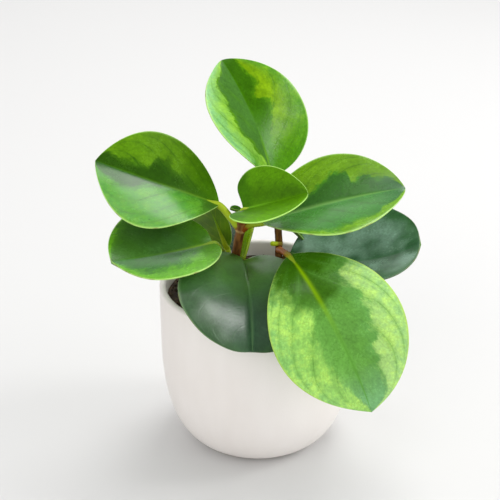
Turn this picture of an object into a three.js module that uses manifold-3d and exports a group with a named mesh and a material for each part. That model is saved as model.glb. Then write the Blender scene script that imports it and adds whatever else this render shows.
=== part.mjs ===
// A potted peperomia: a small house plant with two woody stems and thick oval
// leaves, growing out of dark soil in a plain white ceramic pot.
// Millimetres, +Z up, +X right and +Y to the back. The origin is the centre of
// the pot's foot, on the surface that it stands on.

import * as THREE from 'three';
import { mergeVertices } from 'three/addons/utils/BufferGeometryUtils.js';
import Module from 'manifold-3d';

const wasm = await Module();
wasm.setup();

// Driving dimensions

const gap = 0.3; // between pieces that touch

const pot = {
  radius: 50,
  height: 88,
  wall: 3.4,
  floor: 5,
  footRadius: 24,
  bowlHeight: 58.5, // the wall is straight above this
  roundness: 2.45, // 2 is an ellipse, more is squarer
  innerFootRadius: 22,
};

const soil = {
  edgeHeight: 79.5, // about 8 mm below the rim
  shoulderHeight: 80.6,
  shoulderShare: 0.55, // of the soil's radius
  crownHeight: 81,
};

// How many flat faces stand for each round one
const facets = {
  pot: 40,
  bowl: 7,
  lip: 4,
  stem: 10,
  stemLength: 12,
  stalk: 8,
  stalkLength: 6,
  bud: 10,
  budLength: 6,
};

// Each stem is a tube through its points, from its root in the soil upwards
const stems = {
  stem_left: {
    radius: 2.3,
    points: [[-15, 1, 64], [-14, 0, 82], [-12, -2, 98], [-9.8, -4.4, 112], [-7.8, -6.4, 125]],
    colour: 0x6b3d24,
  },
  stem_right: {
    radius: 1.9,
    points: [[9, 12, 64], [10, 12, 84], [10.8, 12, 102], [9.8, 12.5, 116], [8, 13, 129]],
    colour: 0x5e3322,
  },
};

// A blade starts at its base point and runs along its midrib. Heading, pitch
// and roll turn it, in degrees: heading 0 points to +X and 90 to the back, a
// positive roll lifts the left side as seen from base to tip. The widths are
// those of the left and right half. Fold lifts both halves into a V, flatTip is
// the share of it that is lost at the tip, curl rolls them on, bend droops the
// midrib and twist turns the blade towards its tip.
// Lobe is how far the base reaches back beside the petiole, sinus and closing
// set how wide and how shut the notch between its lobes is, fullness near 1
// gives a blunt end and 1.7 a pointed one, taper moves the widest place to the
// tip where it is negative, and tip draws the end out.
const plainBlade = {
  lobe: 0, sinus: 0.25, closing: 0, fullness: 1.3, taper: 0, tip: 0,
  fold: 10, flatTip: 0, curl: 0, bend: 0, twist: 0, thickness: 1.6, edge: 0.6,
  rows: 14, columns: 2, stalk: 1.5,
};

// Turns round the outline, in radians: how far a drawn-out tip reaches back, and
// where the notch between two lobes is most shut and how far that spreads
const outline = { tipSpread: 0.35, shutTurn: 0.22, shutSpread: 0.16 };

// Where a petiole ends inside its blade
const stalkEnd = { share: 0.12, most: 7, underBase: 0.5, underEnd: 0.7 };

const leaves = {
  leaf_top: {
    base: [7, 14, 139.5], heading: 117, pitch: 59, roll: 31, length: 64, widths: [29.5, 33.5],
    fullness: 1.2, taper: 0.16, tip: 2, fold: 14, curl: -12, bend: 22, twist: -32,
    petiole: [[8.1, 13, 128], [7.4, 13.5, 134]], colour: 0x5f9a1c,
  },
  leaf_upper_left: {
    base: [-19, -2, 131], heading: 177, pitch: 19, roll: -14, length: 64, widths: [31.5, 28.5],
    fullness: 1.6, fold: 18, curl: -21, bend: -2, twist: -28,
    petiole: [[-8.7, -5.5, 118.6], [-13.4, -4.2, 124.4]], colour: 0x3f7a18,
  },
  leaf_lower_left: {
    base: [-22.1, -15.4, 116.6], heading: 208, pitch: -2.7, roll: -7.5, length: 53, widths: [28.2, 31.7],
    lobe: 2.2, fullness: 1.17, taper: 0.03, fold: 19.7, flatTip: 0.6, curl: -13.2, bend: -10.6, twist: -4,
    petiole: [[-12.4, -1.6, 95], [-18.2, -5, 107]], colour: 0x3f7f2a,
  },
  leaf_centre: {
    base: [-7.5, -14, 133.5], heading: -10, pitch: 19, roll: 12, length: 32, widths: [20, 24.5],
    lobe: 5, sinus: 0.35, fullness: 0.85, taper: 0.35, tip: 1, fold: 35, curl: -18, twist: 23,
    petiole: [[-8.1, -6.1, 122.8], [-8.2, -10.5, 127.5]], colour: 0x4f9a12,
  },
  leaf_right: {
    base: [2, -9, 124.5], heading: 2, pitch: 19, roll: 8, length: 71, widths: [32, 31.5],
    fullness: 1.45, tip: 0.5, fold: 20, curl: -20, bend: 11, twist: 12,
    petiole: [[-8.9, -5.3, 117.6], [-4, -7.5, 122]], colour: 0x3f8a1c,
  },
  leaf_right_back: {
    base: [16.5, 7.7, 99.5], heading: -9.3, pitch: -14.2, roll: 11.7, length: 69.8, widths: [34.2, 28.7],
    fullness: 0.9, taper: 0.04, tip: -0.9, fold: 11.6, flatTip: 0.9, curl: 19.8, bend: -53.8, twist: 8.6,
    petiole: [[10.6, 12, 90.5], [14, 10.5, 95.5]], colour: 0x2c5a3a,
  },
  leaf_front_dark: {
    base: [-5, -28.6, 102.2], heading: -82.8, pitch: -14, roll: -7, length: 42.4, widths: [30.7, 36.4],
    lobe: 27.7, sinus: 0.2, closing: 2.2, fullness: 1.55, taper: -0.43, tip: -3.8,
    fold: 28.5, curl: -18, bend: 44.3, twist: -1.3,
    petiole: [[-14.2, 0.3, 84.5], [-9, -18, 92]], colour: 0x2a5540,
  },
  leaf_front_bright: {
    base: [14.6, -22, 113], heading: -69, pitch: -3, roll: 19, length: 93.5, widths: [32.5, 30.5],
    fullness: 1.7, taper: -0.1, tip: 1, fold: 5, curl: -11, bend: 90, twist: 14,
    petiole: [[10.8, 12, 99.5], [12.4, -5, 106.5]], colour: 0x86c23c,
  },
  leaf_left_back: {
    base: [-15.5, 11, 101], heading: -160, pitch: 70, roll: 60, length: 32, widths: [6, 15],
    fullness: 1.2, fold: 12, petiole: [[-12.3, -1.7, 95.5], [-14.5, 7, 97]], colour: 0x2f6a1c,
  },
  leaf_back_shaded: {
    base: [-17, 12, 98], heading: 105, pitch: 20, roll: 0, length: 28, widths: [12, 12],
    fullness: 1.1, fold: 8, petiole: [[-13.6, 0, 87], [-15.5, 7, 92]], colour: 0x26382f,
  },
  young_leaf: {
    base: [-8.6, 1, 99], heading: 40, pitch: 70, roll: 0, length: 21, widths: [6, 6],
    fullness: 1.2, fold: 40, rows: 8, stalk: 1.2,
    petiole: [[-13.4, -0.6, 88], [-10.5, 0.6, 93]], colour: 0x7aa51c,
  },
  young_leaf_right: {
    base: [13.2, 14.2, 115.7], heading: 5, pitch: -47, roll: 0, length: 15.8, widths: [4.6, 4.6],
    fullness: 1.1, fold: 20, rows: 8, stalk: 1,
    petiole: [[9.9, 12.4, 113.5], [11.6, 13.6, 115.6]], colour: 0x4f8a1c,
  },
  bud_leaf: {
    base: [-8, -3.5, 128.6], heading: 175, pitch: 15, roll: 0, length: 5.8, widths: [2.6, 2.6],
    fullness: 1, fold: 25, rows: 6, stalk: 0.9,
    petiole: [[-7.9, -6.2, 123.5], [-7.2, -4.2, 126.4]], colour: 0x2e5a1c,
  },
};

// A swollen bud on the side of the right stem
const sideBud = {
  from: [12, 9.8, 104],
  to: [6.3, 8.3, 104.7],
  radius: 1.2,
  footShare: 0.8, // of its radius, where it leaves the stem
  widest: 0.3, // how far round its half circle the spindle starts
  bluntness: 0.6,
  colour: 0x9aaa28,
};

// Shapes

function vector(point) {
  return new THREE.Vector3(...point);
}

function radians(degrees) {
  return THREE.MathUtils.degToRad(degrees);
}

// A closed solid from a geometry, with its shared vertices merged
function toSolid(geometry) {
  const bare = geometry.clone();
  bare.deleteAttribute('normal');
  bare.deleteAttribute('uv');
  const merged = mergeVertices(bare, 1e-4);
  const corners = merged.index.array;
  const kept = [];
  for (let i = 0; i < corners.length; i += 3) {
    const [a, b, c] = [corners[i], corners[i + 1], corners[i + 2]];
    if (a !== b && b !== c && c !== a) kept.push(a, b, c);
  }
  return new wasm.Manifold(new wasm.Mesh({
    numProp: 3,
    vertProperties: new Float32Array(merged.attributes.position.array),
    triVerts: new Uint32Array(kept),
  }));
}

function toGeometry(solid) {
  const mesh = solid.getMesh();
  const geometry = new THREE.BufferGeometry();
  geometry.setAttribute('position', new THREE.BufferAttribute(new Float32Array(mesh.vertProperties), 3));
  geometry.setIndex(new THREE.BufferAttribute(new Uint32Array(mesh.triVerts), 1));
  return geometry;
}

// A body turned round the vertical axis from [radius, height] points
function turned(profile) {
  const points = profile.map(([radius, height]) => new THREE.Vector2(radius, height));
  const geometry = new THREE.LatheGeometry(points, facets.pot);
  geometry.rotateX(Math.PI / 2);
  return toSolid(geometry);
}

// A round bar along a smooth curve through the points
function tube(points, radius, sides, steps) {
  const corners = Array.from({ length: sides }, (_, i) => {
    const turn = 2 * Math.PI * i / sides;
    return new THREE.Vector2(radius * Math.cos(turn), radius * Math.sin(turn));
  });
  return toSolid(new THREE.ExtrudeGeometry(new THREE.Shape(corners), {
    steps,
    extrudePath: new THREE.CatmullRomCurve3(points.map(vector)),
  }));
}

// Pot and soil

// The rounded bowl, from its foot up to where the wall is straight
function bowlCurve(footRadius, footHeight, radius) {
  return Array.from({ length: facets.bowl + 1 }, (_, i) => {
    const turn = Math.PI / 2 * i / facets.bowl;
    const out = Math.sin(turn) ** (2 / pot.roundness);
    const up = 1 - Math.cos(turn) ** (2 / pot.roundness);
    return [footRadius + (radius - footRadius) * out, footHeight + (pot.bowlHeight - footHeight) * up];
  });
}

function makePot() {
  const inner = pot.radius - pot.wall;
  const lip = pot.wall / 2;
  const rim = Array.from({ length: facets.lip + 1 }, (_, i) => {
    const turn = Math.PI * i / facets.lip;
    return [pot.radius - lip + lip * Math.cos(turn), pot.height - lip + lip * Math.sin(turn)];
  });
  return turned([
    [0, 0],
    ...bowlCurve(pot.footRadius, 0, pot.radius),
    ...rim,
    ...bowlCurve(pot.innerFootRadius, pot.floor, inner).reverse(),
    [0, pot.floor],
  ]);
}

function makeSoil(holes) {
  const radius = pot.radius - pot.wall - gap;
  const mound = turned([
    [0, pot.floor + gap],
    ...bowlCurve(pot.innerFootRadius - gap, pot.floor + gap, radius),
    [radius, soil.edgeHeight],
    [radius * soil.shoulderShare, soil.shoulderHeight],
    [0, soil.crownHeight],
  ]);
  return mound.subtract(holes);
}

// Leaves

function leafFrame(leaf) {
  const [heading, pitch, roll] = [leaf.heading, leaf.pitch, leaf.roll].map(radians);
  const level = new THREE.Vector3(-Math.sin(heading), Math.cos(heading), 0);
  const along = new THREE.Vector3(Math.cos(heading), Math.sin(heading), 0)
    .multiplyScalar(Math.cos(pitch));
  along.z = Math.sin(pitch);
  const face = new THREE.Vector3().crossVectors(along, level);
  return {
    along,
    left: level.clone().multiplyScalar(Math.cos(roll)).addScaledVector(face, Math.sin(roll)),
    out: face.clone().multiplyScalar(Math.cos(roll)).addScaledVector(level, -Math.sin(roll)),
  };
}

// Rises to 1 at the middle and dies away on both sides
function bump(value, middle, spread) {
  return Math.exp(-(((value - middle) / spread) ** 2));
}

// A point of the blade, given how far along and across it lies when flat.
// Across is positive on the left side, and depth goes down from the upper face.
function bladePoint(leaf, along, across, depth) {
  const axes = leafFrame(leaf);
  const side = Math.sign(across);
  const bend = radians(leaf.bend) * along / leaf.length;
  const run = leaf.bend ? along * Math.sin(bend) / bend || along : along;
  const drop = leaf.bend ? along * (1 - Math.cos(bend)) / bend || 0 : 0;
  const raised = axes.along.clone().multiplyScalar(Math.sin(bend)).addScaledVector(axes.out, Math.cos(bend));
  const twist = radians(leaf.twist) * along / leaf.length;
  const left = axes.left.clone().multiplyScalar(Math.cos(twist)).addScaledVector(raised, Math.sin(twist));
  const out = raised.clone().multiplyScalar(Math.cos(twist)).addScaledVector(axes.left, -Math.sin(twist));

  const kept = 1 - leaf.flatTip * bump(Math.min(along / leaf.length, 1), 1, 0.3);
  const fold = radians(leaf.fold) * kept;
  const halfWidth = (leaf.widths[0] + leaf.widths[1]) / 2;
  const curl = radians(leaf.curl || 0.01) / halfWidth;
  const tilt = fold + curl * Math.abs(across);
  const sideways = (Math.sin(tilt) - Math.sin(fold)) / curl;
  const lift = (Math.cos(fold) - Math.cos(tilt)) / curl;
  const normal = out.clone().multiplyScalar(side ? Math.cos(tilt) : 1)
    .addScaledVector(left, -side * Math.sin(tilt));

  return vector(leaf.base)
    .addScaledVector(axes.along, run)
    .addScaledVector(axes.out, -drop)
    .addScaledVector(left, side * sideways)
    .addScaledVector(out, lift)
    .addScaledVector(normal, -depth);
}

// The flat outline of one side, at a turn from 0 at the base to pi at the tip
function marginAt(leaf, turn) {
  const middle = (leaf.length - leaf.lobe) / 2;
  const reach = (leaf.length + leaf.lobe) / 2;
  const notch = leaf.lobe * bump(turn, 0, leaf.sinus);
  const halfWidth = (leaf.widths[0] + leaf.widths[1]) / 2;
  const shut = leaf.closing / halfWidth * bump(turn, outline.shutTurn, outline.shutSpread);
  const drawn = leaf.tip * bump(turn, Math.PI, outline.tipSpread);
  return {
    along: middle - reach * Math.cos(turn) + notch + drawn,
    out: Math.sin(turn) ** leaf.fullness * (1 + leaf.taper * Math.cos(turn)) - shut,
  };
}

// A thin closed shell: rows of points from base to tip on an upper and a lower
// face, which meet in a narrow edge and in one pair of points at each end
function makeBlade(leaf) {
  const positions = [];
  const triangles = [];
  const width = 2 * leaf.columns + 1;

  function addPoint(row, column, lower) {
    const end = row === 0 || row === leaf.rows;
    const turn = Math.PI * row / leaf.rows;
    const share = Math.abs(column) / leaf.columns;
    const margin = marginAt(leaf, turn);
    const rib = (leaf.length + leaf.tip) * (1 - Math.cos(turn)) / 2;
    const half = leaf.widths[column > 0 ? 0 : 1];
    const along = end ? rib : rib + (margin.along - rib) * share;
    const across = end ? 0 : Math.sign(column) * half * margin.out * share;
    const thickness = end ? leaf.edge : leaf.thickness + (leaf.edge - leaf.thickness) * share ** 2;
    positions.push(...bladePoint(leaf, along, across, lower ? thickness : 0).toArray());
  }

  function indexOf(row, column, lower) {
    const start = lower ? (leaf.rows - 1) * width + 2 : 0;
    if (row === 0) return start;
    if (row === leaf.rows) return start + (leaf.rows - 1) * width + 1;
    return start + 1 + (row - 1) * width + column + leaf.columns;
  }

  function addQuad(a, b, c, d) {
    if (a !== b && b !== c && a !== c) triangles.push(a, b, c);
    if (a !== c && c !== d && a !== d) triangles.push(a, c, d);
  }

  for (const lower of [false, true]) {
    addPoint(0, 0, lower);
    for (let row = 1; row < leaf.rows; row += 1) {
      for (let column = -leaf.columns; column <= leaf.columns; column += 1) {
        addPoint(row, column, lower);
      }
    }
    addPoint(leaf.rows, 0, lower);
  }

  for (let row = 0; row < leaf.rows; row += 1) {
    for (let column = -leaf.columns; column < leaf.columns; column += 1) {
      const near = [row, column];
      const far = [row + 1, column];
      const farNext = [row + 1, column + 1];
      const nearNext = [row, column + 1];
      addQuad(...[near, far, farNext, nearNext].map((place) => indexOf(...place, false)));
      addQuad(...[near, nearNext, farNext, far].map((place) => indexOf(...place, true)));
    }
    const [left, right] = [leaf.columns, -leaf.columns];
    addQuad(
      indexOf(row, left, true), indexOf(row, left, false),
      indexOf(row + 1, left, false), indexOf(row + 1, left, true),
    );
    addQuad(
      indexOf(row, right, true), indexOf(row + 1, right, true),
      indexOf(row + 1, right, false), indexOf(row, right, false),
    );
  }

  const geometry = new THREE.BufferGeometry();
  geometry.setAttribute('position', new THREE.BufferAttribute(new Float32Array(positions), 3));
  geometry.setIndex(triangles);
  return toSolid(geometry);
}

// Blade and petiole grew as one piece. The petiole starts on its stem's axis,
// ends inside the blade, and its foot is cut to fit round the stem.
function makeLeaf(values, stemRoom) {
  const leaf = { ...plainBlade, ...values };
  const reach = Math.min(leaf.length * stalkEnd.share, stalkEnd.most);
  const under = bladePoint(leaf, 0, 0, leaf.thickness * stalkEnd.underBase).toArray();
  const inside = bladePoint(leaf, reach, 0, leaf.thickness * stalkEnd.underEnd).toArray();
  const path = [...leaf.petiole, under, inside];
  const stalk = tube(path, leaf.stalk, facets.stalk, facets.stalkLength);
  return makeBlade(leaf).add(stalk).subtract(stemRoom);
}

// The bud is a turned spindle laid between its two points
function makeSideBud(stemRoom) {
  const from = vector(sideBud.from);
  const to = vector(sideBud.to);
  const length = from.distanceTo(to);
  const points = [new THREE.Vector2(0, 0), new THREE.Vector2(sideBud.radius * sideBud.footShare, 0)];
  for (let i = 1; i < facets.budLength; i += 1) {
    const share = i / facets.budLength;
    const turn = Math.PI * (sideBud.widest + (1 - sideBud.widest) * share);
    points.push(new THREE.Vector2(sideBud.radius * Math.sin(turn) ** sideBud.bluntness, length * share));
  }
  points.push(new THREE.Vector2(0, length));
  const spindle = new THREE.LatheGeometry(points, facets.bud);
  const turn = new THREE.Quaternion().setFromUnitVectors(
    new THREE.Vector3(0, 1, 0),
    to.clone().sub(from).normalize(),
  );
  spindle.applyQuaternion(turn);
  spindle.translate(...from.toArray());
  return toSolid(spindle).subtract(stemRoom);
}

// Assembly

const plant = new THREE.Group();

function addPiece(name, solid, colour, roughness) {
  const material = new THREE.MeshStandardMaterial({ color: colour, roughness, metalness: 0 });
  const mesh = new THREE.Mesh(toGeometry(solid), material);
  mesh.name = name;
  plant.add(mesh);
}

function makeStem(stem) {
  return tube(stem.points, stem.radius, facets.stem, facets.stemLength);
}

// The space that a stem takes in the soil and in the petioles, one gap larger
// than the stem all round and at both ends
function makeStemRoom(stem) {
  const points = stem.points.map(vector);
  const lengthen = (end, next) => end.addScaledVector(end.clone().sub(next).normalize(), gap);
  lengthen(points[0], points[1]);
  lengthen(points.at(-1), points.at(-2));
  const room = points.map((point) => point.toArray());
  return tube(room, stem.radius + gap, facets.stem, facets.stemLength);
}

const stemRoom = Object.values(stems)
  .map(makeStemRoom)
  .reduce((all, one) => all.add(one));

addPiece('pot', makePot(), 0xe6e3df, 0.55);
addPiece('soil', makeSoil(stemRoom), 0x2b211a, 0.95);

for (const [name, stem] of Object.entries(stems)) {
  addPiece(name, makeStem(stem), stem.colour, 0.6);
}
for (const [name, leaf] of Object.entries(leaves)) {
  addPiece(name, makeLeaf(leaf, stemRoom), leaf.colour, 0.35);
}
addPiece('side_bud', makeSideBud(stemRoom), sideBud.colour, 0.5);

export default plant;
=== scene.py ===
# A potted peperomia: leaves on two woody stems, in dark soil in a white ceramic pot.
# Everything is in metres; the dictionaries give millimetres and degrees.
import math
import random
import bpy
from mathutils import Matrix, Vector, noise


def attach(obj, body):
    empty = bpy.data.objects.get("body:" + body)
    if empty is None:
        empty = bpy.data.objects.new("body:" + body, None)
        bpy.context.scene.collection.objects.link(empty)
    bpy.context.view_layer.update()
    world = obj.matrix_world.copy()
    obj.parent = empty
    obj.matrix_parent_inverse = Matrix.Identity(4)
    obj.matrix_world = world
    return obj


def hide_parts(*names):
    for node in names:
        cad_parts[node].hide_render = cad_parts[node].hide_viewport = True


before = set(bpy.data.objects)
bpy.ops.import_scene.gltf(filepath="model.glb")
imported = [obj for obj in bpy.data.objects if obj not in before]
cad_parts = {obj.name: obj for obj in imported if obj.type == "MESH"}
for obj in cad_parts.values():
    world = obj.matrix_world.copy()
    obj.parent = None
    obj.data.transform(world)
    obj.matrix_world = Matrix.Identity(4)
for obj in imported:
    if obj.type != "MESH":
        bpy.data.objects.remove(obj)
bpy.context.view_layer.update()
print("frame:", len(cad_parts), "nodes")

mm = 0.001
mapName = "grownMap"  # u runs along a leaf or stem, v across it


# working helpers

def deselectAll():
    if bpy.context.object and bpy.context.object.mode != "OBJECT":
        bpy.ops.object.mode_set(mode="OBJECT")
    bpy.ops.object.select_all(action="DESELECT")


def pick(*pieces):
    deselectAll()
    for piece in pieces:
        piece.select_set(True)
    bpy.context.view_layer.objects.active = pieces[0]


def bump(x, middle, spread):
    return math.exp(-(((x - middle) / spread) ** 2))


def handOver(piece, node, materials):
    # gives the piece its finish and lets it stand for its CAD node
    piece.data.materials.clear()
    for material in materials:
        piece.data.materials.append(material)
    pick(piece)
    bpy.ops.object.transform_apply(location=True, rotation=True, scale=True)
    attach(piece, "root")
    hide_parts(node)
    print("made", piece.name, len(piece.data.polygons), "faces")


def turnedPiece(name, rings, sides):
    # rings of [radius, height], drawn from the middle of the underside round to the middle again
    deselectAll()
    radius, height = rings[0]
    bpy.ops.mesh.primitive_circle_add(
        vertices=sides, radius=radius * mm, location=(0, 0, height * mm), fill_type="NGON")
    piece = bpy.context.object
    piece.name = name
    bpy.ops.object.transform_apply(location=True)
    bpy.ops.object.mode_set(mode="EDIT")
    bpy.ops.mesh.select_mode(type="EDGE")
    bpy.ops.mesh.select_all(action="SELECT")
    for nextRadius, nextHeight in rings[1:]:
        grow = nextRadius / radius
        rise = (nextHeight - height) * mm
        bpy.ops.mesh.extrude_edges_move(TRANSFORM_OT_translate={"value": (0, 0, rise)})
        bpy.ops.transform.resize(value=(grow, grow, 1), center_override=(0, 0, 0))
        radius, height = nextRadius, nextHeight
    bpy.ops.mesh.edge_face_add()
    bpy.ops.mesh.select_all(action="SELECT")
    bpy.ops.mesh.normals_make_consistent(inside=False)
    bpy.ops.object.mode_set(mode="OBJECT")
    bpy.ops.object.shade_smooth_by_angle(angle=math.radians(50))
    return piece


def freshMap(mesh):
    for layer in list(mesh.uv_layers):
        mesh.uv_layers.remove(layer)
    return mesh.uv_layers.new(name=mapName)


def smoothPath(points, count):
    # a soft curve through the points, as count points
    knots = [Vector(point) for point in points]
    knots = [knots[0] * 2 - knots[1]] + knots + [knots[-1] * 2 - knots[-2]]
    times = [0.0]
    for a, b in zip(knots, knots[1:]):
        times.append(times[-1] + max((b - a).length, 1e-6) ** 0.5)
    path = []
    for i in range(count):
        t = times[1] + (times[-2] - times[1]) * i / (count - 1)
        k = max(j for j in range(1, len(knots) - 2) if times[j] <= t + 1e-9)
        p = knots[k - 1:k + 3]
        s = times[k - 1:k + 3]
        ab = p[0].lerp(p[1], (t - s[0]) / (s[1] - s[0]))
        bc = p[1].lerp(p[2], (t - s[1]) / (s[2] - s[1]))
        cd = p[2].lerp(p[3], (t - s[2]) / (s[3] - s[2]))
        abc = ab.lerp(bc, (t - s[0]) / (s[2] - s[0]))
        bcd = bc.lerp(cd, (t - s[1]) / (s[3] - s[1]))
        path.append(abc.lerp(bcd, (t - s[1]) / (s[2] - s[1])))
    return path


def sweptTube(name, points, radiusAt, sides, rings):
    # a cylinder cut into rings, then laid along the path; radiusAt gives mm from 0 to 1
    deselectAll()
    bpy.ops.mesh.primitive_cylinder_add(vertices=sides, radius=1, depth=1, end_fill_type="NGON")
    tube = bpy.context.object
    tube.name = name
    bpy.ops.object.mode_set(mode="EDIT")
    bpy.ops.mesh.select_mode(type="EDGE")
    bpy.ops.mesh.select_all(action="DESELECT")
    bpy.ops.object.mode_set(mode="OBJECT")
    corners = tube.data.vertices
    for edge in tube.data.edges:
        low, high = (corners[i].co.z for i in edge.vertices)
        edge.select = abs(low - high) > 0.5
    bpy.ops.object.mode_set(mode="EDIT")
    bpy.ops.mesh.subdivide_edgering(number_cuts=rings - 1, interpolation="LINEAR", smoothness=0)
    bpy.ops.object.mode_set(mode="OBJECT")

    path = smoothPath(points, rings + 1)
    frames = []
    side = Vector((1, 0, 0))
    for i, point in enumerate(path):
        ahead = (path[min(i + 1, rings)] - path[max(i - 1, 0)]).normalized()
        side = (side - ahead * side.dot(ahead)).normalized()
        frames.append((point, side, ahead.cross(side)))
    shares = [round((corner.co.z + 0.5) * rings) for corner in tube.data.vertices]
    for corner, i in zip(tube.data.vertices, shares):
        point, across, up = frames[i]
        reach = radiusAt(i / rings)
        if callable(reach):
            reach = reach(math.atan2(corner.co.y, corner.co.x))
        corner.co = (point + (across * corner.co.x + up * corner.co.y) * reach) * mm
    layer = freshMap(tube.data)
    for loop in tube.data.loops:
        layer.data[loop.index].uv = (shares[loop.vertex_index] / rings, 0.5)
    pick(tube)
    bpy.ops.object.shade_smooth_by_angle(angle=math.radians(60))
    return tube


# camera, floor and light

view = {
    "place": (-4, -532.6, 361.3),
    "down": 25.7,
    "field": 24,
}
camera = bpy.data.cameras.new("camera")
camera.sensor_width = 36
camera.lens = camera.sensor_width / 2 / math.tan(math.radians(view["field"]) / 2)
camera.clip_start = 0.01
cameraObject = bpy.data.objects.new("camera", camera)
cameraObject.location = Vector(view["place"]) * mm
cameraObject.rotation_euler = (math.radians(90 - view["down"]), 0, 0)
bpy.context.collection.objects.link(cameraObject)
bpy.context.scene.camera = cameraObject

# each lamp: degrees from the back towards the right, degrees up, size and power, and if it shows as gloss
lamps = {
    "window": (26, 61, 0.78, 9, True),
    "sideWindow": (85, 35, 0.46, 5, True),
    "top": (0, 90, 0.42, 1.5, True),
    "backWall": (-12, 27, 0.86, 1.8, True),
    "fill": (-152, 26, 1.4, 7.4, False),
    "rightFill": (104, 14, 1.2, 7, False),
}
light = {
    "distance": 1.5,
    "skyFront": 0.66, "skyBack": 0.88,  # as matt surfaces see it
    "glossFront": 0.02, "glossBack": 0.1,  # as shiny surfaces see it
    "floor": (0.66, 0.657, 0.652),
}


def addLamp(name, azimuth, height, size, power, shines):
    lamp = bpy.data.lights.new(name, "AREA")
    lamp.shape = "DISK"
    lamp.size = size
    lamp.energy = power
    lampObject = bpy.data.objects.new(name, lamp)
    turn, up = math.radians(azimuth), math.radians(height)
    towards = Vector((math.sin(turn) * math.cos(up), math.cos(turn) * math.cos(up), math.sin(up)))
    lampObject.location = towards * light["distance"] + Vector((0, 0, 0.1))
    lampObject.rotation_euler = (-towards).to_track_quat("-Z", "Y").to_euler()
    lampObject.visible_glossy = shines
    bpy.context.collection.objects.link(lampObject)


for name, values in lamps.items():
    addLamp(name, *values)

scene = bpy.context.scene
scene.view_settings.view_transform = "Standard"


# shader helpers

def colour(red, green, blue):
    # from the 0 to 255 of a paint box to linear light
    def linear(part):
        part /= 255
        return part / 12.92 if part <= 0.04045 else ((part + 0.055) / 1.055) ** 2.4
    return (linear(red), linear(green), linear(blue), 1.0)


drawing = {"tree": None}  # the node tree that the helpers below draw in


def feed(value, socket):
    if isinstance(value, bpy.types.NodeSocket):
        drawing["tree"].links.new(value, socket)
    else:
        socket.default_value = value


def put(kind, values=None, **settings):
    fresh = drawing["tree"].nodes.new("ShaderNode" + kind)
    for key, value in settings.items():
        setattr(fresh, key, value)
    for key, value in (values or {}).items():
        feed(value, fresh.inputs[key])
    return fresh


def calc(operation, a, b=0.0, c=0.0):
    return put("Math", {0: a, 1: b, 2: c}, operation=operation).outputs[0]


def mixColour(share, a, b):
    return put("Mix", {0: share, 6: a, 7: b}, data_type="RGBA", clamp_factor=True).outputs[2]


def mixValue(share, a, b):
    return put("Mix", {0: share, 2: a, 3: b}, data_type="FLOAT").outputs[0]


def ramp(value, low, high, start=0.0, end=1.0):
    return put("MapRange", {0: value, 1: low, 2: high, 3: start, 4: end},
               interpolation_type="SMOOTHSTEP").outputs[0]


def grain(vector, scale, detail=3.0, roughness=0.5, stretch=None):
    if stretch:
        vector = put("Mapping", {"Vector": vector, "Scale": stretch}).outputs[0]
    return put("TexNoise", {"Vector": vector, "Scale": scale, "Detail": detail,
                            "Roughness": roughness}).outputs["Fac"]


def newGroup(name, inputs, outputs):
    group = drawing["tree"] = bpy.data.node_groups.new(name, "ShaderNodeTree")
    for label, kind, value in inputs:
        socket = group.interface.new_socket(label, in_out="INPUT", socket_type="NodeSocket" + kind)
        if value is not None:
            socket.default_value = value
    for label, kind in outputs:
        group.interface.new_socket(label, in_out="OUTPUT", socket_type="NodeSocket" + kind)
    return group, group.nodes.new("NodeGroupInput").outputs, group.nodes.new("NodeGroupOutput").inputs


def useGroup(shared, values):
    return put("Group", values, node_tree=shared).outputs


def newMaterial(name):
    material = bpy.data.materials.new(name)
    material.use_nodes = True
    drawing["tree"] = material.node_tree
    return material, material.node_tree.nodes["Principled BSDF"].inputs


def objectPlace():
    return put("TexCoord").outputs["Object"]


def grownPlace():
    # how far along and how far across, from the object's own map
    return put("SeparateXYZ", {0: put("UVMap", uv_map=mapName).outputs[0]}).outputs


def product(a, b):
    return calc("MULTIPLY", a, b)


def sway(tone, share, base):
    # moves the base up and down by a grain, which is 0.5 on average
    return calc("MULTIPLY_ADD", calc("SUBTRACT", tone, 0.5), share, base)


def cover(body, tone, share, most):
    # lays a tone over the body where share is high, and no more of it than most
    return mixColour(product(share, most), body, tone)


def coat(shader, body, rough, height=None, strength=0.0, distance=0.0):
    feed(body, shader["Base Color"])
    feed(rough, shader["Roughness"])
    if height is not None:
        relief = put("Bump", {"Height": height, "Strength": strength, "Distance": distance})
        feed(relief.outputs[0], shader["Normal"])


# soft, toothed edge of a patch that grows out from the midrib
def makePatchGroup():
    group, given, out = newGroup("leafPatch", [
        ("Along", "Float", 0.5), ("Across", "Float", 0.0), ("Width", "Float", 0.5),
        ("Jag", "Float", 0.2), ("Softness", "Float", 0.03), ("Seed", "Float", 0.0),
    ], [("Mask", "Float")])
    side = calc("ABSOLUTE", given["Across"])
    # the streaks lean outwards and towards the tip
    lean = calc("SUBTRACT", given["Along"], product(side, 0.35))
    place = put("CombineXYZ", {0: lean, 1: given["Across"], 2: given["Seed"]}).outputs[0]
    coarse = grain(place, 1.0, 1.0, 0.5, (7.0, 2.4, 1.0))
    fine = grain(place, 1.0, 4.0, 0.7, (24.0, 7.0, 1.0))
    shift = sway(coarse, 1.2, sway(fine, 2.0, 0.0))
    edge = calc("MULTIPLY_ADD", shift, given["Jag"], given["Width"])
    depth = calc("SUBTRACT", edge, side)
    mask = ramp(depth, product(given["Softness"], -1.0), given["Softness"])
    feed(mask, out["Mask"])
    return group


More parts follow.
